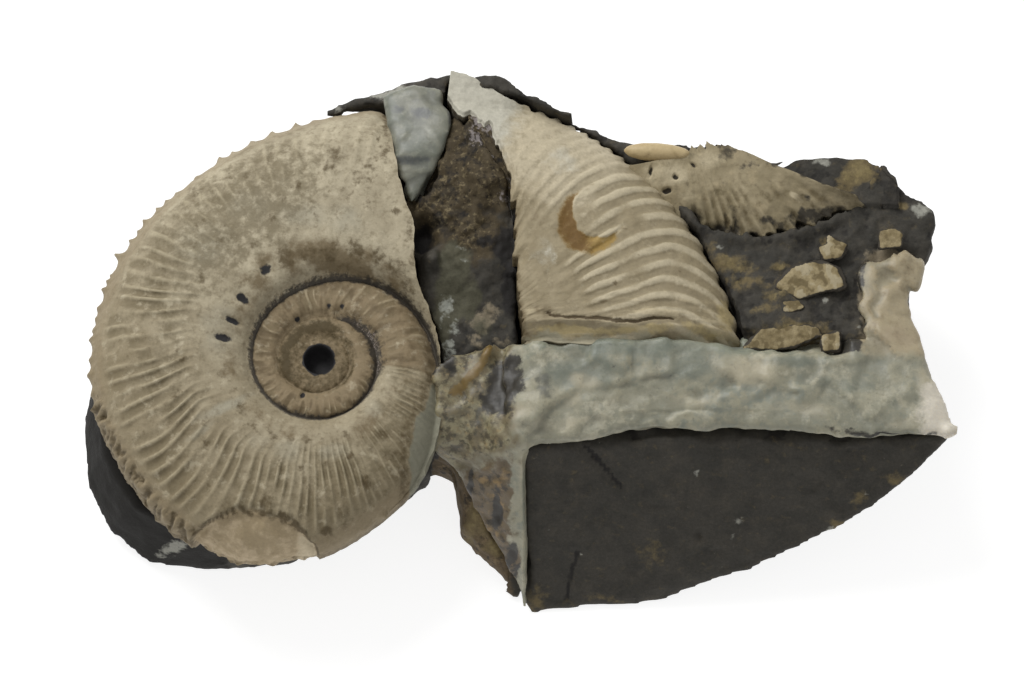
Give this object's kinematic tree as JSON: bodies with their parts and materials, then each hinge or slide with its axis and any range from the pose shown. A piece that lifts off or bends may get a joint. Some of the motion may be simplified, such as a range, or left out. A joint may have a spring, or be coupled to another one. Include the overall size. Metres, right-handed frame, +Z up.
{
  "type": "ammonite fossil specimen",
  "caption": "Hand specimen of coiled, ribbed ammonites held in dark mudstone with a pale calcite vein; lies flat as a display or teaching piece.",
  "frame": {"origin": "middle of the specimen's bounding box, on the surface it rests on", "axes": "+X along the specimen's length, +Y away from the viewer, +Z up from the resting face, out of the faces of the shells"},
  "size_m": [0.1305, 0.0769, 0.0332],
  "materials": {
    "mudstone": "matt, dark grey-brown, broken faces",
    "shell": "matt cream and beige fossil shell, stained brown in places",
    "calcite": "waxy, lumpy, pale greenish-grey calcite"
  },
  "bodies": {
    "root": {"mudstone": "mudstone", "ammonite_coil": "shell", "ammonite_flank": "shell", "ammonite_fan": "shell", "calcite_vein": "calcite", "calcite_wedge": "calcite", "shell_sliver": "shell", "shell_flake_1": "shell", "shell_flake_2": "shell", "shell_flake_3": "shell", "shell_flake_4": "shell", "shell_flake_5": "shell", "shell_flake_6": "shell"}
  },
  "joints": []
}
